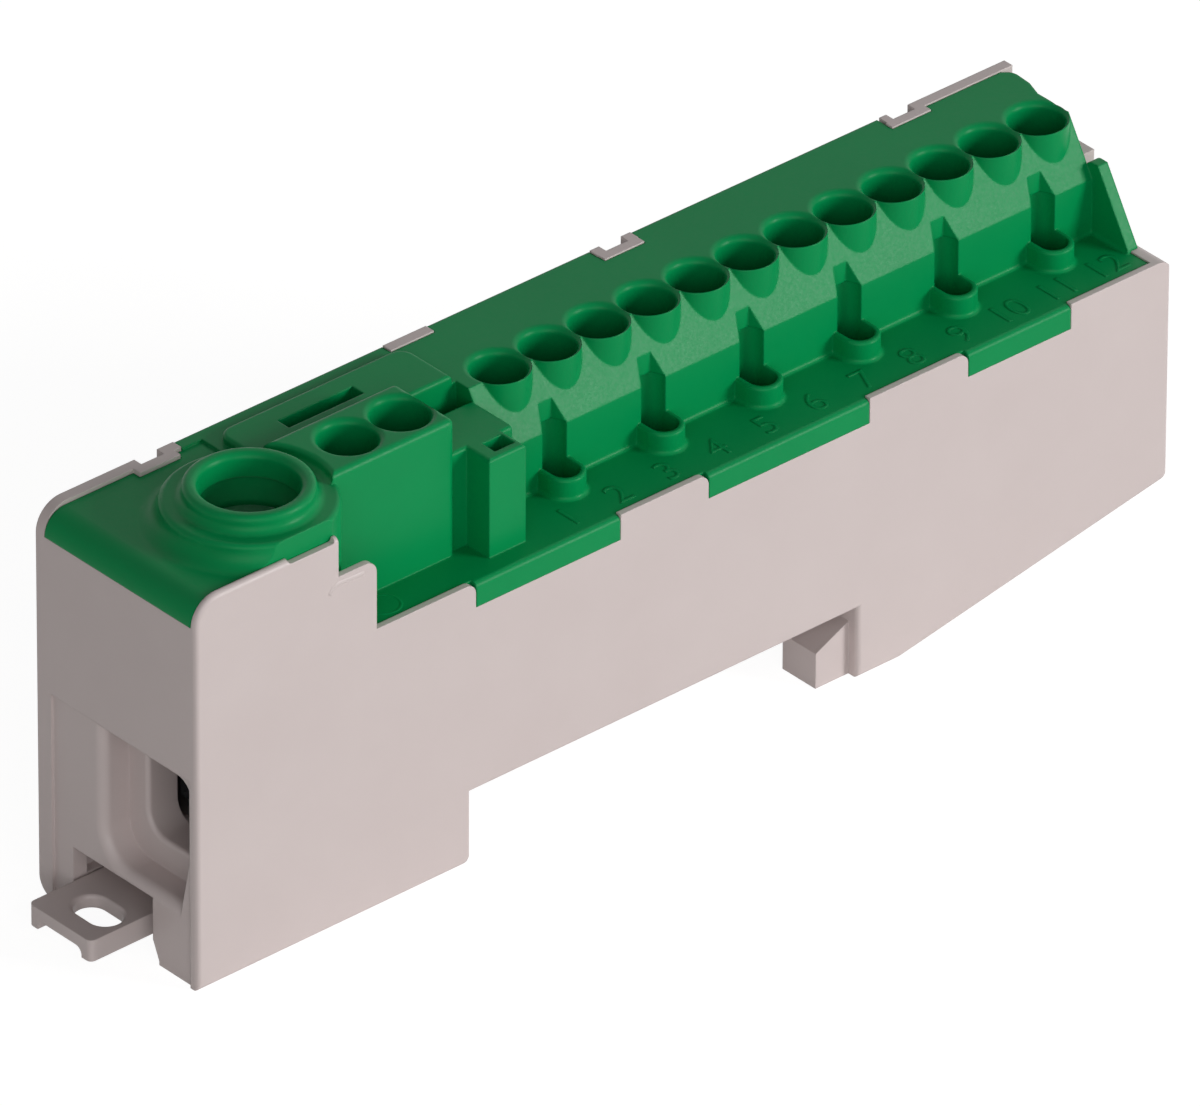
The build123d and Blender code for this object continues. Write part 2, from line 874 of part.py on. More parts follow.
    # Slot in the slab and pocket in the boss
    with BuildSketch(at_height(slab_top)):
        rectangle(key_slot[0], key_slot[2], key_slot[1], key_slot[3])
    extrude(amount=-key_slot_depth, mode=Mode.SUBTRACT)
    with BuildSketch(at_height(plate_top)):
        rectangle(*boss_pocket)
    extrude(amount=-boss_pocket_depth, mode=Mode.SUBTRACT)

    # Cores from below, behind the entries
    core_front = entry_y + barrel_radius + core_gap
    core_rear = rib_front - seat_gap - cover_wall
    with BuildSketch(at_height(ledge_height)):
        for number in range(pocket_count):
            middle = first_entry_x + entry_pitch / 2 + pocket_pitch * number
            rectangle(middle - core_half_width, core_front, middle + core_half_width, core_rear)
        rectangle(shoulder_end + deck_wall, core_front, row_start - row_wall, core_rear)
    extrude(amount=row_top - ledge_height - core_roof, mode=Mode.SUBTRACT)

    # Reliefs for the ribs of the housing
    with BuildSketch(at_height(ledge_height)):
        for place in groove_places:
            rectangle(
                place - rib_width / 2 - seat_gap,
                rib_front - seat_gap,
                place + rib_width / 2 + seat_gap,
                width,
            )
    extrude(amount=collar_top - ledge_height, mode=Mode.SUBTRACT)
terminal_cover.part.label = "terminal_cover"

# Latch that holds the left edge of the rail
latch_front = channel_front + slide_gap
latch_rear = channel_rear - slide_gap
nose_top = seat_height - rail_edge - rail_gap
with BuildPart() as latch_body:
    with BuildSketch(behind_front(latch_front)):
        with BuildLine():
            Polyline(
                (guide_start + latch_travel + slide_gap, tab_bottom),
                (notch_left + latch_nose, tab_bottom),
                (notch_left + latch_nose, nose_top - nose_slope_height),
                (notch_left + nose_slope_start, nose_top),
                (guide_start + latch_travel + slide_gap, nose_top),
                close=True,
            )
        make_face()
    extrude(amount=-(latch_rear - latch_front))
    # Side flanges in the grooves of the channel
    with BuildSketch(at_height(guide_bottom + slide_gap)):
        rectangle(
            guide_start + latch_travel + slide_gap,
            latch_front - groove_reach,
            guide_end,
            latch_rear + groove_reach,
        )
    extrude(amount=guide_height - 2 * slide_gap)
with BuildPart() as pull_tab:
    # Pull tab, an arched plate with a leg along each side
    with BuildSketch(across(-tab_reach)) as tab_section:
        with BuildLine():
            Polyline(
                (tab_front, tab_bottom),
                (tab_front + tab_leg, tab_bottom),
                (tab_front + tab_leg, tab_top - tab_thickness),
                (tab_rear - tab_leg, tab_top - tab_thickness),
                (tab_rear - tab_leg, tab_bottom),
                (tab_rear, tab_bottom),
                (tab_rear, tab_top),
                (tab_front, tab_top),
                close=True,
            )
        make_face()
        for place in (tab_front + tab_leg, tab_rear - tab_leg):
            fillet(corner_at(tab_section, place, tab_top - tab_thickness), tab_arch)
    extrude(amount=tab_reach + guide_start + latch_travel + slide_gap + tab_root)
    tip_corners = pull_tab.edges().filter_by(Axis.Z).group_by(Axis.X)[0]
    fillet(tip_corners.group_by(Axis.Y)[0] + tip_corners.group_by(Axis.Y)[-1], tab_corner)
    with BuildSketch(at_height(tab_top)):
        with Locations((slot_x, slot_y)):
            SlotOverall(slot_length, slot_width, rotation=90)
    extrude(amount=-tab_top, mode=Mode.SUBTRACT)
    slot_rim = pull_tab.faces().filter_by(Axis.Z).sort_by(Axis.Z)[-1].inner_wires().edges()
    fillet(slot_rim, slot_rounding)

# The latch slides in the channel with its nose under the rail
with BuildPart() as rail_latch:
    add(latch_body.part)
    add(pull_tab.part)
rail_latch.part.label = "rail_latch"

# Busbar, a jogged bar on edge with a tongue through the clamp
with BuildPart() as busbar:
    with BuildSketch(at_height(cavity_floor)):
        with BuildLine():
            Polyline(
                (bar_start, feeder_bar_y),
                (jog_start, feeder_bar_y),
                (jog_end, bar_front_y),
                (bar_end, bar_front_y),
                (bar_end, bar_front_y + bar_thickness),
                (jog_end - jog_shift, bar_front_y + bar_thickness),
                (jog_start - jog_shift, feeder_bar_y + bar_thickness),
                (bar_start, feeder_bar_y + bar_thickness),
                close=True,
            )
        make_face()
    extrude(amount=bar_height)
    with BuildSketch(at_height(tongue_bottom)):
        rectangle(
            tongue_start,
            clamp_y - tongue_width / 2,
            bar_start + bar_thickness,
            clamp_y + tongue_width / 2,
        )
        rectangle(bar_start, clamp_y, bar_start + bar_thickness, feeder_bar_y + bar_thickness)
    extrude(amount=tongue_thickness)
busbar.part.label = "busbar"

# Lifting clamp cage round the tongue
cage_start = clamp_x - cage_length / 2
cage_front = clamp_y - cage_inside / 2 - cage_wall
cage_rear = clamp_y + cage_inside / 2 + cage_wall
with BuildPart() as clamp_cage:
    with BuildSketch(across(cage_start)) as cage_section:
        rectangle(cage_front, cage_floor_bottom, cage_rear, cage_ceiling + cage_top_thickness)
        rectangle(
            cage_front + cage_wall,
            cage_floor_bottom + cage_floor,
            cage_rear - cage_wall,
            cage_ceiling,
            mode=Mode.SUBTRACT,
        )
    extrude(amount=cage_length)
    upright_edges = clamp_cage.edges().filter_by(Axis.Z).group_by(Axis.Y)
    fillet(upright_edges[0] + upright_edges[-1], cage_corner)
    with BuildSketch(at_height(cage_ceiling)):
        with Locations((clamp_x, clamp_y)):
            Circle(screw_radius + screw_gap)
    extrude(amount=cage_top_thickness, mode=Mode.SUBTRACT)
clamp_cage.part.label = "clamp_cage"

# Clamp screw, standing on the tongue
with BuildPart() as clamp_screw:
    with BuildSketch(at_height(tongue_bottom + tongue_thickness + seat_gap / 2)):
        with Locations((clamp_x, clamp_y)):
            Circle(screw_radius)
    extrude(amount=head_bottom - tongue_bottom - tongue_thickness - seat_gap / 2)
    with BuildSketch(at_height(head_bottom)):
        with Locations((clamp_x, clamp_y)):
            Circle(head_radius)
    extrude(amount=head_height)
    with BuildSketch(at_height(head_bottom + head_height)):
        with Locations((clamp_x, clamp_y)):
            Rectangle(2 * head_radius, drive_slot_width)
    extrude(amount=-drive_slot_depth, mode=Mode.SUBTRACT)
clamp_screw.part.label = "clamp_screw"


def make_spring(place, bar_face, name):
    """Bend one clamping spring: a foot on the front wall, a crown, and a leg down to the busbar."""
    half = strip_thickness / 2
    foot_y = front_wall + seat_gap + half
    crown_y = foot_y + spring_reach
    tip_y = bar_face - seat_gap - half
    with BuildPart() as spring:
        with BuildSketch(across(place - spring_width / 2)):
            with BuildLine():
                FilletPolyline(
                    (foot_y, spring_foot),
                    (foot_y, spring_crown),
                    (crown_y, spring_crown),
                    (tip_y, spring_tip),
                    radius=bend_radius,
                )
                offset(amount=half, side=Side.BOTH, kind=Kind.ARC)
            make_face()
        extrude(amount=spring_width)
    spring.part.label = name
    return spring.part


springs = []
for number, place in enumerate(entries_x, start=1):
    springs.append(make_spring(place, bar_front_y, f"clamp_spring_{number:02d}"))
for number, place in enumerate(feeder_x, start=1):
    springs.append(make_spring(place, feeder_bar_y, f"feeder_spring_{number}"))

os.makedirs("parts", exist_ok=True)
export_step(housing.part, "parts/housing.step")
export_step(terminal_cover.part, "parts/terminal_cover.step")
export_step(rail_latch.part, "parts/rail_latch.step")
export_step(busbar.part, "parts/busbar.step")
export_step(clamp_cage.part, "parts/clamp_cage.step")
export_step(clamp_screw.part, "parts/clamp_screw.step")
for spring in springs:
    export_step(spring, f"parts/{spring.label}.step")
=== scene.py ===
"""Dresses the earth terminal block and sets it in a light studio.

The CAD pieces get moulded plastics and plated metals. Grown here are the raised numbers and mould
marks on the plastic and the thread on the screw.

Everything is in metres in the part's own frame. Places on the block are written in millimetres from
the lower left corner of its front face, as the part's source writes them, and turned into the frame
by one function.
"""

import logging
import math
from dataclasses import dataclass, field
from enum import Enum

import bpy
from mathutils import Euler, Matrix, Vector


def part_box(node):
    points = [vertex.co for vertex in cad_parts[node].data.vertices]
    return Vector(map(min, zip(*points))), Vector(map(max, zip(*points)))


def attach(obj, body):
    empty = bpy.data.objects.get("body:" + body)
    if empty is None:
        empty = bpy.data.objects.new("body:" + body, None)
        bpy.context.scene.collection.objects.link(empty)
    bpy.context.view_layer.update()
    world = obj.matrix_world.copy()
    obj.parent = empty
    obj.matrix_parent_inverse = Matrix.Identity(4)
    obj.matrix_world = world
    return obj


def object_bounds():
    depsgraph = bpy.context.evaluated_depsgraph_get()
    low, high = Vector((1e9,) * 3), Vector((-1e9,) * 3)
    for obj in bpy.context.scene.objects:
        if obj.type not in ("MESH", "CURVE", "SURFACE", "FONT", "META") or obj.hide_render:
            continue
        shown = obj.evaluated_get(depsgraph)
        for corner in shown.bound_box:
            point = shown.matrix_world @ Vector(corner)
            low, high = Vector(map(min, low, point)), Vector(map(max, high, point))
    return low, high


log = logging.getLogger("earth_terminal_block")

MM = 0.001
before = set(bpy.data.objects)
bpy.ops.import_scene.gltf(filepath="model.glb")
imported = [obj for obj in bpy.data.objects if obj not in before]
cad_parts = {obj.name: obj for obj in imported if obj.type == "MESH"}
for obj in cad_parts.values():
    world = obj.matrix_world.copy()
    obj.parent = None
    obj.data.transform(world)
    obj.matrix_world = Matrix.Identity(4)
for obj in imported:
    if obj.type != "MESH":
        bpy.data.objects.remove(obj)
CAD_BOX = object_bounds()
HOUSING_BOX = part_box("housing")


def linear(hex_colour: str) -> tuple[float, float, float, float]:
    """Turn an sRGB hex colour into linear values.

    Args:
        hex_colour: Six hex digits, such as "c8bcba".

    Returns:
        Red, green, blue and alpha, linear.
    """
    channels = [int(hex_colour[start:start + 2], 16) / 255 for start in (0, 2, 4)]
    values = [c / 12.92 if c <= 0.04045 else ((c + 0.055) / 1.055) ** 2.4 for c in channels]
    return (values[0], values[1], values[2], 1.0)


def place(x_mm: float, y_mm: float, z_mm: float) -> Vector:
    """Turn millimetres from the lower left corner of the front face into the frame.

    Args:
        x_mm: Distance along the block from its left end.
        y_mm: Distance behind the front face.
        z_mm: Height above the feet.

    Returns:
        The point in metres.
    """
    low = HOUSING_BOX[0]
    return Vector((low.x + x_mm * MM, low.y + y_mm * MM, low.z + z_mm * MM))


def add_node(tree: bpy.types.NodeTree, kind: str, inputs: dict | None = None,
             **settings) -> bpy.types.Node:
    """Add one node with its settings, values and links.

    Args:
        tree: The node tree.
        kind: The node's type name.
        inputs: Values or output sockets, by the input's name or index.
        settings: Properties of the node.

    Returns:
        The new node.
    """
    node = tree.nodes.new(kind)
    for name, value in settings.items():
        setattr(node, name, value)
    for name, value in (inputs or {}).items():
        if isinstance(value, bpy.types.NodeSocket):
            tree.links.new(value, node.inputs[name])
        else:
            node.inputs[name].default_value = value
    return node


def empty_tree(owner: bpy.types.Material | bpy.types.World) -> bpy.types.NodeTree:
    """Give a material or a world a node tree with nothing in it.

    Args:
        owner: The material or world.

    Returns:
        The empty tree.
    """
    owner.use_nodes = True
    owner.node_tree.nodes.clear()
    return owner.node_tree


class Slot(Enum):
    """The record's material slots."""

    GREY = "grey_plastic"
    GREEN = "green_plastic"
    BAR = "tinned_bar"
    STEEL = "plated_steel"
    SPRING = "spring_steel"


class Grower:
    """Grows one mesh with Geometry Nodes, from sizes that are the node group's named inputs."""

    def __init__(self, name: str, sizes: dict[str, float | int]) -> None:
        """Start the node group.

        Args:
            name: The group's name.
            sizes: The sizes by name, lengths in metres.
        """
        self.name = name
        self.sizes = sizes
        self.tree = bpy.data.node_groups.new(name, "GeometryNodeTree")
        sockets = self.tree.interface
        sockets.new_socket("Geometry", in_out="OUTPUT", socket_type="NodeSocketGeometry")
        sockets.new_socket("Geometry", in_out="INPUT", socket_type="NodeSocketGeometry")
        sockets.new_socket("Material", in_out="INPUT", socket_type="NodeSocketMaterial")
        for size, value in sizes.items():
            kind = "NodeSocketInt" if isinstance(value, int) else "NodeSocketFloat"
            sockets.new_socket(size, in_out="INPUT", socket_type=kind)
        self.given = add_node(self.tree, "NodeGroupInput").outputs

    def add(self, kind: str, inputs: dict | None = None, **settings) -> bpy.types.Node:
        """Add one node to the group, as add_node does."""
        return add_node(self.tree, kind, inputs, **settings)

    def grow(self, geometry: bpy.types.NodeSocket, material: bpy.types.Material,
             start: bpy.types.Mesh | None = None) -> bpy.types.Mesh:
        """Close the group and turn what it makes into a plain mesh.

        Args:
            geometry: The socket that holds the finished geometry.
            material: The material that the group sets.
            start: The mesh that the group works on, if it needs one.

        Returns:
            The plain mesh.
        """
        real = self.add("GeometryNodeRealizeInstances", {"Geometry": geometry})
        painted = self.add("GeometryNodeSetMaterial", {
            "Geometry": real.outputs["Geometry"],
            "Material": self.given["Material"],
        })
        self.add("NodeGroupOutput", {"Geometry": painted.outputs["Geometry"]})
        holder = bpy.data.objects.new(self.name, start or bpy.data.meshes.new(self.name))
        bpy.context.scene.collection.objects.link(holder)
        modifier = holder.modifiers.new(self.name, "NODES")
        modifier.node_group = self.tree
        values = {"Material": material, **self.sizes}
        for socket in self.tree.interface.items_tree:
            if socket.in_out == "INPUT" and socket.name in values:
                modifier[socket.identifier] = values[socket.name]
        bpy.context.view_layer.update()
        grown = holder.evaluated_get(bpy.context.evaluated_depsgraph_get())
        mesh = bpy.data.meshes.new_from_object(grown)
        mesh.name = self.name
        holder.modifiers.remove(modifier)
        bpy.data.objects.remove(holder)
        return mesh


@dataclass(frozen=True)
class MouldedPolyamide:
    """Moulded polyamide, with a skin copied from a fine spark-eroded mould.

    It gives the eye a satin surface: a broad soft sheen, a very fine grain and faint cloudy tones
    where the melt flowed.
    """

    name: str
    colour: str
    shade: str
    roughness: float
    sheen: float
    edge_mm: float
    # The real grain, some 0.03 mm across, is too fine to show, so it is drawn coarser
    grain_mm: float = 0.22
    grain_depth_mm: float = 0.02
    grain_strength: float = 0.16
    # The cloudy tones are about half as wide as the block
    flow_mm: float = 9.0
    # How far the roughness swings below and above its middle
    shinier: float = 0.05
    duller: float = 0.06
    ior: float = 1.53

    def build(self) -> bpy.types.Material:
        """Make the material.

        Returns:
            The finished material.
        """
        material = bpy.data.materials.new(self.name)
        tree = empty_tree(material)
        coordinates = add_node(tree, "ShaderNodeTexCoord")
        flow = add_node(tree, "ShaderNodeTexNoise", {
            "Vector": coordinates.outputs["Object"],
            "Scale": 1 / (self.flow_mm * MM),
            "Detail": 3.0,
            "Roughness": 0.55,
        })
        tone = add_node(tree, "ShaderNodeMix", {
            "Factor": flow.outputs["Fac"],
            "A": linear(self.shade),
            "B": linear(self.colour),
        }, data_type="RGBA")
        grain = add_node(tree, "ShaderNodeTexNoise", {
            "Vector": coordinates.outputs["Object"],
            "Scale": 1 / (self.grain_mm * MM),
            "Detail": 4.0,
            "Roughness": 0.6,
        })
        gloss = add_node(tree, "ShaderNodeMapRange", {
            "Value": grain.outputs["Fac"],
            "From Min": 0.3,
            "From Max": 0.7,
            "To Min": self.roughness - self.shinier,
            "To Max": self.roughness + self.duller,
        })
        # The small radius that a moulding has on every edge
        edge = add_node(tree, "ShaderNodeBevel", {"Radius": self.edge_mm * MM}, samples=6)
        skin = add_node(tree, "ShaderNodeBump", {
            "Height": grain.outputs["Fac"],
            "Strength": self.grain_strength,
            "Distance": self.grain_depth_mm * MM,
            "Normal": edge.outputs["Normal"],
        })
        surface = add_node(tree, "ShaderNodeBsdfPrincipled", {
            "Base Color": tone.outputs["Result"],
            "Roughness": gloss.outputs["Result"],
            "Normal": skin.outputs["Normal"],
            "IOR": self.ior,
            "Specular IOR Level": self.sheen,
        })
        add_node(tree, "ShaderNodeOutputMaterial", {"Surface": surface.outputs["BSDF"]})
        return material


@dataclass(frozen=True)
class PlatedMetal:
    """Plating or bright rolling on sheet, bar or strip.

    It gives the eye a soft metallic shine, drawn out along faint rolling lines, with cloudy tones.
    """

    name: str
    colour: str
    shade: str
    roughness: float
    # The real rolling lines, some 0.02 mm apart, are too fine to show, so they are drawn coarser
    line_mm: float = 0.1
    # The share of the lines' scale that is left along the block, which draws them out
    line_stretch: float = 0.04
    line_depth_mm: float = 0.01
    line_strength: float = 0.1
    cloud_mm: float = 3.0
    # How far the roughness swings on either side of its middle
    swing: float = 0.08

    def build(self) -> bpy.types.Material:
        """Make the material.

        Returns:
            The finished material.
        """
        material = bpy.data.materials.new(self.name)
        tree = empty_tree(material)
        coordinates = add_node(tree, "ShaderNodeTexCoord")
        stretch = add_node(tree, "ShaderNodeMapping", {
            "Vector": coordinates.outputs["Object"],
            "Scale": (self.line_stretch, 1.0, 1.0),
        })
        lines = add_node(tree, "ShaderNodeTexNoise", {
            "Vector": stretch.outputs["Vector"],
            "Scale": 1 / (self.line_mm * MM),
            "Detail": 2.0,
        })
        clouds = add_node(tree, "ShaderNodeTexNoise", {
            "Vector": coordinates.outputs["Object"],
            "Scale": 1 / (self.cloud_mm * MM),
            "Detail": 4.0,
        })
        tone = add_node(tree, "ShaderNodeMix", {
            "Factor": clouds.outputs["Fac"],
            "A": linear(self.shade),
            "B": linear(self.colour),
        }, data_type="RGBA")
        gloss = add_node(tree, "ShaderNodeMapRange", {
            "Value": lines.outputs["Fac"],
            "To Min": self.roughness - self.swing,
            "To Max": self.roughness + self.swing,
        })
        rolled = add_node(tree, "ShaderNodeBump", {
            "Height": lines.outputs["Fac"],
            "Strength": self.line_strength,
            "Distance": self.line_depth_mm * MM,
        })
        surface = add_node(tree, "ShaderNodeBsdfPrincipled", {
            "Base Color": tone.outputs["Result"],
            "Roughness": gloss.outputs["Result"],
            "Normal": rolled.outputs["Normal"],
            "Metallic": 1.0,
        })
        add_node(tree, "ShaderNodeOutputMaterial", {"Surface": surface.outputs["BSDF"]})
        return material


class Finishes:
    """The block's five finishes, each built once."""

    recipes: dict[Slot, MouldedPolyamide | PlatedMetal] = {
        # A warm light grey with a satin sheen
        Slot.GREY: MouldedPolyamide(
            "grey_polyamide_moulded", "cabebc", "c3b6b4", roughness=0.46, sheen=0.5, edge_mm=0.12
        ),
        # A deep clean green whose sheen stays weak, so that its walls keep their colour
        Slot.GREEN: MouldedPolyamide(
            "green_polyamide_moulded", "008e4e", "008247", roughness=0.36, sheen=0.1, edge_mm=0.2
        ),
        # A dull, slightly warm white metal
        Slot.BAR: PlatedMetal("copper_hot_tinned", "c9c7c2", "b5b3af", roughness=0.38),
        # A cool bright metal
        Slot.STEEL: PlatedMetal("steel_zinc_plated", "c4c6c6", "a9abad", roughness=0.32),
        # The brightest of the metals, with sharp reflections
        Slot.SPRING: PlatedMetal("spring_steel_bright_rolled", "bfbfbf", "a8a8aa", roughness=0.28),
    }

    def __init__(self) -> None:
        """Build every finish."""
        self.by_slot = {slot: recipe.build() for slot, recipe in self.recipes.items()}

    def dress(self, node: str, slot: Slot) -> None:
        """Give a CAD node its finish.

        Args:
            node: The CAD node's name.
            slot: The finish.
        """
        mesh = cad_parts[node].data
        if not mesh.materials:
            mesh.materials.append(self.by_slot[slot])
        for index in range(len(mesh.materials)):
            mesh.materials[index] = self.by_slot[slot]
        log.info("dressed %s as %s", node, slot.value)

    def piece(self, name: str, mesh: bpy.types.Mesh, slot: Slot, body: str) -> bpy.types.Object:
        """Turn a mesh into a piece that rides on a body.

        Args:
            name: The piece's name.
            mesh: The mesh, already in the frame.
            slot: The finish.
            body: The CAD body that it moves with.

        Returns:
            The new object.
        """
        mesh.materials.clear()
        mesh.materials.append(self.by_slot[slot])
        piece = bpy.data.objects.new(name, mesh)
        bpy.context.scene.collection.objects.link(piece)
        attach(piece, body)
        log.info("built %s with %d faces", name, len(mesh.polygons))
        return piece


@dataclass
class Casing:
    """The grey housing and its latch, and the green cover."""

    finishes: Finishes
    grey_nodes: tuple[str, ...] = ("housing", "rail_latch")
    green_nodes: tuple[str, ...] = ("terminal_cover",)

    def build(self) -> None:
        """Dress the moulded pieces."""
        for node in self.grey_nodes:
            self.finishes.dress(node, Slot.GREY)
        for node in self.green_nodes:
            self.finishes.dress(node, Slot.GREEN)


@dataclass
class CurrentPath:
    """The metal inside: busbar, clamp and springs."""

    finishes: Finishes
    row_springs: int = 12
    feeder_springs: int = 2

    def build(self) -> None:
        """Dress the metal pieces."""
        self.finishes.dress("busbar", Slot.BAR)
        for node in ("clamp_cage", "clamp_screw"):
            self.finishes.dress(node, Slot.STEEL)
        for number in range(1, self.row_springs + 1):
            self.finishes.dress(f"clamp_spring_{number:02d}", Slot.SPRING)
        for number in range(1, self.feeder_springs + 1):
            self.finishes.dress(f"feeder_spring_{number}", Slot.SPRING)


@dataclass
class FloorNumbers:
    """Raised numbers on the cover's floor, one before each wire entry. Sizes in millimetres."""

    finishes: Finishes
    count: int = 12
    first_x: float = 35.35
    pitch: float = 4.5
    front_y: float = 1.2
    floor_z: float = 22.4
    letter_size: float = 3.2
    relief: float = 0.035
    sunk: float = 0.03
    # How near two points lie to be joined into one
    weld: float = 0.001

    def one_number(self, grower: Grower, index: bpy.types.NodeSocket) -> bpy.types.NodeSocket:
        """Raise the number of one entry and move it in front of that entry.

        Args:
            grower: The node group.
            index: The socket that counts the entries from nought.

        Returns:
            The socket that holds the raised number.
        """
        number = grower.add("ShaderNodeMath", {0: index, 1: 1.0}, operation="ADD")
        words = grower.add("FunctionNodeValueToString", {"Value": number.outputs["Value"]})
        letters = grower.add("GeometryNodeStringToCurves", {
            "String": words.outputs["String"],
            "Size": grower.given["Letter Size"],
        }, align_x="CENTER", align_y="BOTTOM_BASELINE")
        outline = grower.add("GeometryNodeRealizeInstances", {
            "Geometry": letters.outputs["Curve Instances"],
        })
        filled = grower.add("GeometryNodeFillCurve", {"Curve": outline.outputs["Geometry"]})
        raised = grower.add("GeometryNodeExtrudeMesh", {
            "Mesh": filled.outputs["Mesh"],
            "Offset Scale": grower.given["Thickness"],
            "Individual": False,
        }, mode="FACES")
        # The same outline, turned to face down, closes the number from below
        base = grower.add("GeometryNodeFlipFaces", {"Mesh": filled.outputs["Mesh"]})
        both = grower.add("GeometryNodeJoinGeometry", {"Geometry": raised.outputs["Mesh"]})
        grower.tree.links.new(base.outputs["Mesh"], both.inputs["Geometry"])
        whole = grower.add("GeometryNodeMergeByDistance", {
            "Geometry": both.outputs["Geometry"],
            "Distance": self.weld * MM,
        })
        along = grower.add("ShaderNodeMath", {
            0: index,
            1: grower.given["Pitch"],
        }, operation="MULTIPLY")
        step = grower.add("ShaderNodeCombineXYZ", {"X": along.outputs["Value"]})
        moved = grower.add("GeometryNodeTransform", {
            "Geometry": whole.outputs["Geometry"],
            "Translation": step.outputs["Vector"],
        })
        return moved.outputs["Geometry"]

    def build(self) -> None:
        """Grow every number in one repeat zone, as one piece."""
        grower = Grower("floor_numbers", {
            "Count": self.count,
            "Pitch": self.pitch * MM,
            "Letter Size": self.letter_size * MM,
            "Thickness": (self.relief + self.sunk) * MM,
        })
        first = grower.add("GeometryNodeRepeatInput")
        last = grower.add("GeometryNodeRepeatOutput")
        first.pair_with_output(last)
        grower.tree.links.new(grower.given["Count"], first.inputs["Iterations"])
        raised = self.one_number(grower, first.outputs["Iteration"])
        row = grower.add("GeometryNodeJoinGeometry", {"Geometry": first.outputs["Geometry"]})
        grower.tree.links.new(raised, row.inputs["Geometry"])
        grower.tree.links.new(row.outputs["Geometry"], last.inputs["Geometry"])
        mesh = grower.grow(last.outputs["Geometry"], self.finishes.by_slot[Slot.GREEN])
        start = place(self.first_x, self.front_y, self.floor_z - self.sunk)
        mesh.transform(Matrix.Translation(start))
        self.finishes.piece("floor_numbers", mesh, Slot.GREEN, "base")


@dataclass
class MouldMarks:
    """A thin ridge on the housing's front face and a faint ring on the cover's floor.

    Each is a round bead that follows a path sunk under the surface, so that only its crest shows.
    Sizes in millimetres.
    """

    finishes: Finishes
    bead_radius: float = 0.3
    ridge_proud: float = 0.07
    ring_proud: float = 0.03
    ridge_x_z: tuple[tuple[float, float], ...] = (
        (11.92, 26.98),
        (12.19, 27.43),
        (12.64, 27.56),
        (14.96, 27.47),
    )
    ring_x: float = 18.6
    ring_y: float = 2.2
    ring_z: float = 22.4
    ring_radius: float = 1.2
    ring_points: int = 48
    bead_sides: int = 32

    def bead(self, name: str, points: list[Vector], closed: bool, slot: Slot) -> None:
        """Sweep one bead along a path.

        Args:
            name: The piece's name.
            points: The path, in the frame.
            closed: Whether the path returns to its start.
            slot: The finish.
        """
        path = bpy.data.meshes.new(name)
        edges = [(index, index + 1) for index in range(len(points) - 1)]
        if closed:
            edges.append((len(points) - 1, 0))
        path.from_pydata(points, edges, [])
        grower = Grower(name, {"Bead Radius": self.bead_radius * MM})
        line = grower.add("GeometryNodeMeshToCurve", {"Mesh": grower.given["Geometry"]})
        round_wire = grower.add("GeometryNodeCurvePrimitiveCircle", {
            "Resolution": self.bead_sides,
            "Radius": grower.given["Bead Radius"],
        })
        swept = grower.add("GeometryNodeCurveToMesh", {
            "Curve": line.outputs["Curve"],
            "Profile Curve": round_wire.outputs["Curve"],
            "Fill Caps": not closed,
        })
        mesh = grower.grow(swept.outputs["Mesh"], self.finishes.by_slot[slot], path)
        self.finishes.piece(name, mesh, slot, "base")

    def build(self) -> None:
        """Model both marks."""
        depth = self.bead_radius - self.ridge_proud
        ridge = [place(x, depth, z) for x, z in self.ridge_x_z]
        self.bead("front_ridge", ridge, False, Slot.GREY)
        middle = place(self.ring_x, self.ring_y, self.ring_z - self.bead_radius + self.ring_proud)
        reach = Vector((self.ring_radius * MM, 0, 0))
        angles = [math.tau * step / self.ring_points for step in range(self.ring_points)]
        ring = [middle + Matrix.Rotation(angle, 3, "Z") @ reach for angle in angles]
        self.bead("floor_ring", ring, True, Slot.GREEN)


@dataclass
class ScrewThread:
    """The fine right-hand thread on the clamp screw's shank. Sizes in millimetres.

    A round bead winds along the shank, sunk so that its crest stays inside the hole of the cage.
    """

    finishes: Finishes
    node: str = "clamp_screw"
    pitch: float = 0.8
    crest_radius: float = 2.54
    bead_radius: float = 0.25
    head_height: float = 2.2
    run_out: float = 0.4
    steps_per_turn: int = 32
    bead_sides: int = 12

    def build(self) -> None:
        """Wind the thread between the shank's tip and its head."""
        low, high = (Vector(corner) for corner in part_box(self.node))
        length = high.z - low.z - (self.head_height + 2 * self.run_out) * MM
        grower = Grower("screw_thread", {
            "Turns": length / (self.pitch * MM),
            "Winding Radius": (self.crest_radius - self.bead_radius) * MM,
            "Length": length,
            "Bead Radius": self.bead_radius * MM,
        })
        helix = grower.add("GeometryNodeCurveSpiral", {
            "Resolution": self.steps_per_turn,
            "Rotations": grower.given["Turns"],
            "Start Radius": grower.given["Winding Radius"],
            "End Radius": grower.given["Winding Radius"],
            "Height": grower.given["Length"],
            "Reverse": True,
        })
        round_wire = grower.add("GeometryNodeCurvePrimitiveCircle", {
            "Resolution": self.bead_sides,
            "Radius": grower.given["Bead Radius"],
        })
        wound = grower.add("GeometryNodeCurveToMesh", {
            "Curve": helix.outputs["Curve"],
            "Profile Curve": round_wire.outputs["Curve"],
            "Fill Caps": True,
        })
        mesh = grower.grow(wound.outputs["Mesh"], self.finishes.by_slot[Slot.STEEL])
        foot = Vector(((low.x + high.x) / 2, (low.y + high.y) / 2, low.z + self.run_out * MM))
        mesh.transform(Matrix.Translation(foot))
        self.finishes.piece("screw_thread", mesh, Slot.STEEL, "screw")


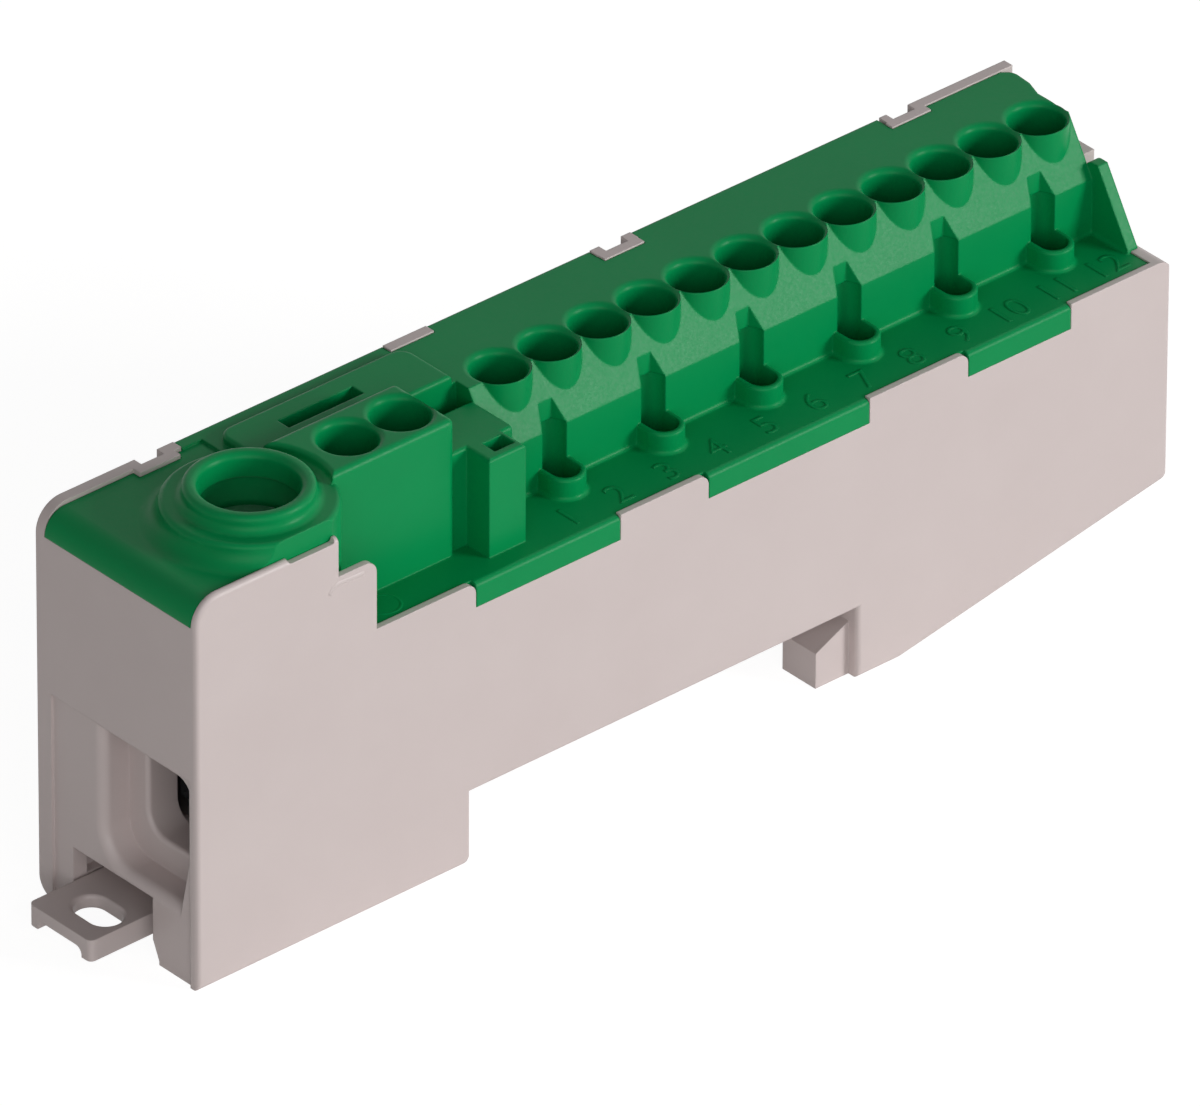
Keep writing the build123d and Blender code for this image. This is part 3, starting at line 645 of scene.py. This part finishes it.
@dataclass(frozen=True)
class SoftLamp:
    """One square soft lamp that points at the block. Lengths in metres.

    The direction runs from the block to the lamp. The level is the share of a white surface's full
    brightness that the lamp gives.
    """

    name: str
    towards: tuple[float, float, float]
    reach: float
    size: float
    level: float

    def build(self, target: Vector) -> None:
        """Hang the lamp.

        Args:
            target: The point that the lamp faces.
        """
        data = bpy.data.lights.new(self.name, "AREA")
        data.shape = "SQUARE"
        data.size = self.size
        data.energy = self.level * math.pi ** 2 * self.reach ** 2
        lamp = bpy.data.objects.new(self.name, data)
        direction = Vector(self.towards).normalized()
        lamp.location = target + direction * self.reach
        lamp.rotation_euler = direction.to_track_quat("Z", "Y").to_euler()
        bpy.context.scene.collection.objects.link(lamp)


@dataclass
class Studio:
    """A pale floor, soft lamps, a white surround and the camera at the photograph's angle."""

    target: Vector = field(default_factory=lambda: place(30.98, -5.92, 25.24))
    distance: float = 1.6266
    azimuth: float = -41.46
    elevation: float = 32.43
    roll: float = 0.25
    lens: float = 720.0
    sensor_width: float = 36.0
    clip: tuple[float, float] = (0.05, 20.0)
    ambient: float = 0.08
    surround: float = 1.0
    floor_reach: float = 4.0
    floor_glow: float = 1.24
    floor_glow_share: float = 0.75
    lamps: tuple[SoftLamp, ...] = (
        # Shapes the block
        SoftLamp("left_softbox", (-0.6, -0.76, 0.25), reach=1.0, size=1.0, level=0.57),
        # Lies where the slope of the cover mirrors it
        SoftLamp("right_softbox", (0.559, -0.776, 0.293), reach=1.0, size=0.33, level=0.65),
        # Hangs near the far end, so that its light fades along the tops
        SoftLamp("top_panel", (0.7, 0.2, 0.7), reach=0.25, size=0.15, level=0.07),
    )

    def seen(self, tree: bpy.types.NodeTree) -> bpy.types.Node:
        """Tell rays that show a surface from rays that light the block.

        Args:
            tree: The node tree.

        Returns:
            A node that gives one to camera, glossy and transmission rays, and nought to the rest.
        """
        path = add_node(tree, "ShaderNodeLightPath")
        mirrored = add_node(tree, "ShaderNodeMath", {
            0: path.outputs["Is Glossy Ray"],
            1: path.outputs["Is Transmission Ray"],
        }, operation="MAXIMUM")
        return add_node(tree, "ShaderNodeMath", {
            0: path.outputs["Is Camera Ray"],
            1: mirrored.outputs["Value"],
        }, operation="MAXIMUM")

    def world(self) -> None:
        """Light the block evenly and show white to the camera and in reflections."""
        world = bpy.data.worlds.new("surround")
        bpy.context.scene.world = world
        tree = empty_tree(world)
        seen = self.seen(tree)
        level = add_node(tree, "ShaderNodeMapRange", {
            "Value": seen.outputs["Value"],
            "To Min": self.ambient,
            "To Max": self.surround,
        })
        light = add_node(tree, "ShaderNodeBackground", {
            "Color": linear("ffffff"),
            "Strength": level.outputs["Result"],
        })
        add_node(tree, "ShaderNodeOutputWorld", {"Surface": light.outputs["Background"]})

    def floor(self) -> None:
        """Lay a pale floor under the feet, nearly white to the camera but still taking a shadow."""
        low = CAD_BOX[0][2]
        mesh = bpy.data.meshes.new("studio_floor")
        reach = self.floor_reach
        corners = [(x * reach, y * reach, low) for x, y in ((-1, -1), (1, -1), (1, 1), (-1, 1))]
        mesh.from_pydata(corners, [], [(0, 1, 2, 3)])
        material = bpy.data.materials.new("pale_floor")
        tree = empty_tree(material)
        seen = self.seen(tree)
        share = add_node(tree, "ShaderNodeMath", {
            0: seen.outputs["Value"],
            1: self.floor_glow_share,
        }, operation="MULTIPLY")
        paint = add_node(tree, "ShaderNodeBsdfDiffuse", {"Color": linear("f4f2f0")})
        glow = add_node(tree, "ShaderNodeEmission", {
            "Color": linear("ffffff"),
            "Strength": self.floor_glow,
        })
        mix = add_node(tree, "ShaderNodeMixShader", {
            0: share.outputs["Value"],
            1: paint.outputs["BSDF"],
            2: glow.outputs["Emission"],
        })
        add_node(tree, "ShaderNodeOutputMaterial", {"Surface": mix.outputs["Shader"]})
        mesh.materials.append(material)
        floor = bpy.data.objects.new("studio_floor", mesh)
        bpy.context.scene.collection.objects.link(floor)

    def camera(self) -> None:
        """Set the camera where the photograph was taken."""
        data = bpy.data.cameras.new("photograph")
        data.sensor_fit = "HORIZONTAL"
        data.sensor_width = self.sensor_width
        data.lens = self.lens
        data.clip_start, data.clip_end = self.clip
        camera = bpy.data.objects.new("photograph", data)
        turn = Euler((math.radians(90 - self.elevation), 0, math.radians(self.azimuth))).to_matrix()
        turn = turn @ Matrix.Rotation(math.radians(self.roll), 3, "Z")
        back = turn @ Vector((0, 0, 1))
        camera.matrix_world = Matrix.Translation(self.target + back * self.distance) @ turn.to_4x4()
        bpy.context.scene.collection.objects.link(camera)
        bpy.context.scene.camera = camera

    def build(self) -> None:
        """Set up the whole studio."""
        bpy.context.scene.view_settings.view_transform = "Standard"
        self.world()
        self.floor()
        for lamp in self.lamps:
            lamp.build(self.target)
        self.camera()
        log.info("studio ready")


def main() -> None:
    """Build the scene in order."""
    logging.basicConfig(level=logging.INFO, format="%(message)s")
    finishes = Finishes()
    Casing(finishes).build()
    CurrentPath(finishes).build()
    FloorNumbers(finishes).build()
    MouldMarks(finishes).build()
    ScrewThread(finishes).build()
    Studio().build()


if __name__ == "__main__":
    main()
